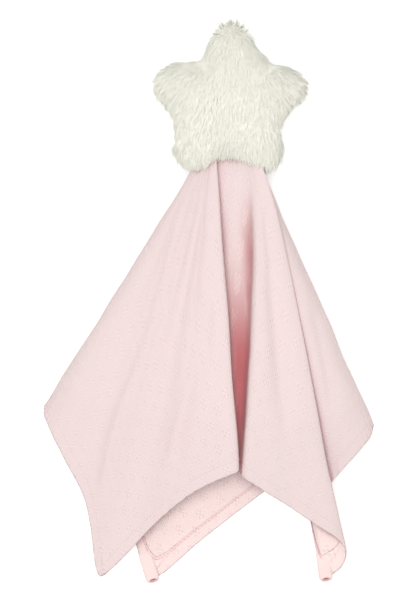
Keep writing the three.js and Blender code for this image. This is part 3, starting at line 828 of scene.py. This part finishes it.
# The pile: locks of fibre that leave the backing steeply, bend over and lie down the star, in clumps.
pile = {
    "locksPerArea": 4, "hiddenLocksPerArea": 2.8, "rootScatter": (0.2, 0.8), "seed": 23, "lowest": 0.3,
    "length": 8.5, "lengthSpread": 0.26, "lengthLimit": 0.4, "width": (0.48, 0.44, 0.26),
    "stops": (0, 0.34, 0.68, 1), "liftAtRoot": 40, "liftAtTip": 2, "liftSpread": 3, "liftLimits": (2, 85),
    "flowScatter": 0.09, "flowWave": 4, "flowWaveFiner": 1.6, "flowWaveLater": 2,
    "clumpEvery": 7, "clumpPull": 0.5, "clumpFrom": 1.5,
    "neckSides": (14, 22), "neckFoot": (-32, -24), "neckLength": 1.35,
    "tuft": (0.6, 47, 2.2, 0.6),  # its place, how far it spreads and how much longer it is
    "sideFrom": 8, "sideSpan": 36, "sideShare": 0.9, "sideAbove": (-26, -8),
    "partingHigh": 44, "partingSpan": 7, "partingWide": 60,
    "litTogether": 0.86, "litEvenly": 1, "litSpan": 8, "litFrom": 11,
    # the root colour is painted shade low in each lock, and the far end of each lock's own random tone
    "color": "#fefef4", "root": "#fdfbec", "rootShadeUpTo": 0.55, "rootShadeShare": 0.8, "toneShare": 0.4,
    "roughness": 0.75, "sheen": 0.3,
}


# The way the pile lies: down the star, outwards on its side arms and up at the top arm's tip.
def pileFlow(spots):
    x, y = (spots[:, :2] - starMiddle).T
    side = np.sign(x) * np.clip((np.abs(x) - pile["sideFrom"]) / pile["sideSpan"], 0, 1) * pile["sideShare"]
    side = side * smooth(y, *pile["sideAbove"])
    upward = np.clip((y - pile["partingHigh"]) / pile["partingSpan"], -1, 1)
    spread = (1 - np.abs(upward)) * x / pile["partingWide"]
    return np.stack((side + spread, upward, np.zeros_like(x)), axis=-1)


# Small turns to each side, to even something out over.
def toEachSide(key):
    widest, steps = star["evened"][key]
    return np.radians(np.linspace(-widest, widest, steps))


# Outer reach of the pile from the star's middle, at angles clockwise from the top.
def pileReach(angle):
    spots = np.array(star["outline"])
    turn = np.arctan2(spots[:, 0], spots[:, 1])
    order = np.argsort(turn)
    reach = np.linalg.norm(spots, axis=1)
    return np.mean([np.interp(angle + more, turn[order], reach[order], period=2 * math.pi)
                    for more in toEachSide("reach")], axis=0)


# How far the pile stands out past the panel's edge at these angles.
def pileBeyond(angle):
    allRound, outwards = star["pileBeyond"]
    parts = []
    for more in toEachSide("edge"):
        ends = [np.stack((np.sin(at), np.cos(at)), axis=-1) * pileReach(at)[:, None]
                for at in (angle + more - star["chord"], angle + more + star["chord"])]
        along = unit(ends[1] - ends[0])
        flow = pileFlow((ends[0] + ends[1]) / 2 + starMiddle)[:, :2]
        parts.append(np.clip(along[:, 0] * flow[:, 1] - along[:, 1] * flow[:, 0], star["inwards"], 1))
    return allRound + outwards * sum(parts) / len(parts)


# Moves points of a unit ball to the star's form, its surface set in by this much from the plush's own.
def starFrom(ball, inset, lumps):
    angle = np.arctan2(ball[:, 0], ball[:, 1])
    share = np.minimum(np.hypot(ball[:, 0], ball[:, 1]), 1)
    reach = pileReach(angle) - pileBeyond(angle) - inset
    edges = [pileReach(angle + more) - pileBeyond(angle + more) for more in toEachSide("rise")]
    soft = np.mean(edges, axis=0) - inset
    even = share * share * share + (1 - share * share) * share * reach / soft
    rise = (star["halfDepth"] - inset) * (1 - np.minimum(even, 1) ** star["squareness"]) ** star["roundness"]
    spots = np.stack((starMiddle[0] + share * reach * np.sin(angle),
                      starMiddle[1] + share * reach * np.cos(angle),
                      star["seamHeight"] + np.sign(ball[:, 2]) * (star["seamGap"] / 2 + rise)), axis=-1)
    rough = sum(np.sin(spots @ wave[:3] + wave[3]) for wave in lumpWaves) / len(lumpWaves)
    away = unit(spots - (*starMiddle, star["seamHeight"]))
    return spots + away * (lumps * rough * np.abs(ball[:, 2]))[:, None]


# A ball, or its upper or lower half, as a grid from pole to pole that is moved to the star's form.
def starPiece(name, half, inset, lumps, material):
    around = np.linspace(0, 2 * math.pi, star["segments"] + 1)
    rise = (np.arange(star["rings"] + 1) / star["rings"] - 0.5) * math.pi
    wide, high = np.cos(rise), np.sin(rise)
    if half:
        middle = star["rings"] // 2
        wide[middle], high[middle] = star["rim"][0], star["rim"][1] * half
        wide, high = wide[high * half > 0], high[high * half > 0]
    ball = np.stack((np.outer(wide, np.sin(around)), np.outer(wide, np.cos(around)),
                     np.outer(high, np.ones_like(around))), axis=-1)
    points = starFrom(ball.reshape(-1, 3), inset, lumps).reshape(ball.shape)
    return gridPiece(name, points, {}, material)


def makePanel(name, half, backing):
    panel = starPiece(name, half, 0, star["lumps"], backing)
    thicken(panel, star["backing"], offset=-1)
    return panel


# The upper or lower part of the star, and its left or right part unless right is 0.
def inPart(spots, high, right):
    isHigh, isRight = spots[:, 1] >= starMiddle[1] + star["splitHigh"], spots[:, 0] >= starMiddle[0]
    return (isHigh == (high > 0)) & ((right == 0) | (isRight == (right > 0)))


def growPile(name, panel, high, right, perArea, seed, fibre):
    dice = np.random.default_rng(seed)
    mesh = panel.data
    mesh.calc_loop_triangles()
    spots = np.array([vert.co for vert in mesh.vertices]) / mm - neckPlace
    normals = np.array([vert.normal for vert in mesh.vertices])
    corners = np.array([triangle.vertices for triangle in mesh.loop_triangles])
    corners = corners[inPart(spots[corners].mean(axis=1), high, right)]
    # The faces in a mixed order, so that the locks don't stand in even rows.
    corners = corners[np.random.default_rng(seed).permutation(len(corners))]
    a, b, c = (spots[corners[:, k]] for k in range(3))
    area = np.linalg.norm(np.cross(b - a, c - a), axis=1)
    count = int(area.sum() / 2 * perArea)
    evenly = (np.arange(count) + dice.uniform(*pile["rootScatter"], count)) / count
    pick = np.searchsorted(np.cumsum(area), evenly * area.sum())
    share = dice.dirichlet((1, 1, 1), count)
    roots = np.einsum("nk,nkd->nd", share, spots[corners[pick]])
    normal = unit(np.einsum("nk,nkd->nd", share, normals[corners[pick]]))

    # Headings in the backing's own plane.
    flow = pileFlow(roots) + dice.normal(0, pile["flowScatter"], roots.shape)
    flow = unit(flow - normal * np.sum(flow * normal, axis=1, keepdims=True))
    sway = sum(np.sin(roots @ wave[:3] * pile["flowWaveFiner"] + wave[3] * pile["flowWaveLater"])
               for wave in lumpWaves) / math.sqrt(len(lumpWaves))
    turn = np.radians(pile["flowWave"]) * sway[:, None]
    flow = flow * np.cos(turn) + np.cross(normal, flow) * np.sin(turn)
    limit = pile["lengthLimit"]
    length = pile["length"] * (1 + dice.normal(0, pile["lengthSpread"], len(roots)).clip(-limit, limit))
    x, y = (roots[:, :2] - starMiddle).T
    byNeck = (1 - smooth(np.abs(x), *pile["neckSides"])) * (1 - smooth(y, *pile["neckFoot"]))
    tuftX, tuftY, tuftWide, tuftMore = pile["tuft"]
    byTuft = np.exp(-((x - tuftX) ** 2 + (y - tuftY) ** 2) / tuftWide ** 2)
    length = length * (1 - (1 - pile["neckLength"]) * byNeck) * (1 + tuftMore * byTuft)
    lean = dice.normal(0, pile["liftSpread"], len(roots))

    # Each lock's path, drawn towards the path of its clump's leader.
    stops = pile["stops"]
    path = [roots]
    for start, end in zip(stops, stops[1:]):
        along = (start + end) / 2
        lift = pile["liftAtRoot"] * (1 - along) + pile["liftAtTip"] * along + lean
        lift = np.radians(lift.clip(*pile["liftLimits"]))[:, None]
        step = ((end - start) * length)[:, None]
        path.append(path[-1] + (flow * np.cos(lift) + normal * np.sin(lift)) * step)
    path = np.stack(path, axis=1)
    leaders = np.arange(0, len(roots), pile["clumpEvery"])
    tree = KDTree(len(leaders))
    for leader in leaders:
        tree.insert(roots[leader], int(leader))
    tree.balance()
    nearest = np.array([tree.find(root)[1] for root in roots])
    pull = pile["clumpPull"] * np.array(stops)[None, :, None] ** pile["clumpFrom"]
    path = path + (path[nearest] - path) * pull
    path[:, :, 2] = np.maximum(path[:, :, 2], pile["lowest"])

    # One tapering three-sided lock, swept along every path.
    heading = unit(np.diff(path, axis=1))
    heading = np.concatenate((heading, heading[:, -1:]), axis=1)
    across = unit(np.cross(normal[:, None, :], heading))
    upright = np.cross(heading, across)
    rings = []
    for k, width in enumerate(pile["width"]):
        for corner in range(3):
            angle = math.radians(120 * corner - 90)
            out = across[:, k] * math.cos(angle) + upright[:, k] * math.sin(angle)
            rings.append(path[:, k] + out * width / 2)
    points = np.stack(rings + [path[:, -1]], axis=1)
    faces = [(0, 2, 1)]
    for k in range(2):
        for corner in range(3):
            beside = (corner + 1) % 3
            faces.append((3 * k + corner, 3 * k + beside, 3 * k + 3 + beside))
            faces.append((3 * k + corner, 3 * k + 3 + beside, 3 * k + 3 + corner))
    faces += [(6 + corner, 6 + (corner + 1) % 3, 9) for corner in range(3)]
    piece = copiesPiece(name, points, faces, fibre)
    values = {"alongLock": np.tile(np.repeat(np.array(stops), (3, 3, 3, 1)), len(roots)),
              "lockTone": np.repeat(dice.uniform(0, 1, len(roots)), points.shape[1])}
    for key, value in values.items():
        piece.data.attributes.new(key, "FLOAT", "POINT").data.foreach_set("value", value)
    print(name, len(roots), "locks")

    # Fine fibre lets light through, so a lock is lit nearly as the whole pile is.
    own = unit(points - np.concatenate([np.repeat(path[:, k:k + 1], 3, axis=1) for k in range(3)]
                                       + [path[:, 2:3]], axis=1))
    height = np.clip((roots[:, 2] - pile["litFrom"]) / pile["litSpan"], -1, 1)
    even = normal.copy()
    even[:, 2] += pile["litEvenly"] * height
    lit = unit(own * (1 - pile["litTogether"]) + unit(even)[:, None, :] * pile["litTogether"])
    piece.data.normals_split_custom_set_from_vertices(lit.reshape(-1, 3).tolist())
    return piece


# Acrylic pile: creamy white and soft, with painted shade a little warmer down at its roots, and no two locks
# quite alike.
def pileMaterial():
    material = newMaterial("acrylicPile")
    node = lambda *parts: addNode(material, *parts)
    along, tone = (node("ShaderNodeAttribute", {"attribute_name": key}).node.outputs["Fac"]
                   for key in ("alongLock", "lockTone"))
    # Painted shade towards each lock's root, and each lock's own random tone on top.
    depth = node("ShaderNodeMapRange", smoothStep, (along, pile["rootShadeUpTo"], 0, 0, pile["rootShadeShare"]))
    shade = node("ShaderNodeMath", "MULTIPLY_ADD", (tone, pile["toneShare"], depth))
    color = node("ShaderNodeMix", {"data_type": "RGBA"},
                 {0: shade, 6: toLinear(pile["color"]), 7: toLinear(pile["root"])}).node.outputs[2]
    fibre = node("ShaderNodeBsdfPrincipled", None, {
        "Base Color": color, "Roughness": pile["roughness"], "Specular IOR Level": 0.3,
        "Sheen Weight": pile["sheen"], "Sheen Roughness": 0.4})
    node("ShaderNodeOutputMaterial", None, {"Surface": fibre})
    return material


fibre = pileMaterial()
frontPanel = makePanel("star_front_plush", 1, fibre)
backPanel = makePanel("star_back_plush", -1, fibre)
filling = starPiece("star_fibre_filling", 0, star["fillingInset"], star["fillingLumps"], fibre)
growths = (("pile_top_left", frontPanel, 1, -1), ("pile_top_right", frontPanel, 1, 1),
           ("pile_low_left", frontPanel, -1, -1), ("pile_low_right", frontPanel, -1, 1),
           ("pile_back_top", backPanel, 1, 0), ("pile_back_low", backPanel, -1, 0))
piles = []
for k, (name, panel, high, right) in enumerate(growths):
    perArea = pile["locksPerArea" if panel is frontPanel else "hiddenLocksPerArea"]
    piles.append(growPile(name, panel, high, right, perArea, pile["seed"] + k, fibre))
    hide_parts("star_front_panel" if panel is frontPanel else "star_back_panel")
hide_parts("star_front_panel")
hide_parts("star_back_panel")
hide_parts("star_filling")
for piece in (frontPanel, backPanel, filling, *piles):
    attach(piece, "star_head")
print("star ready")
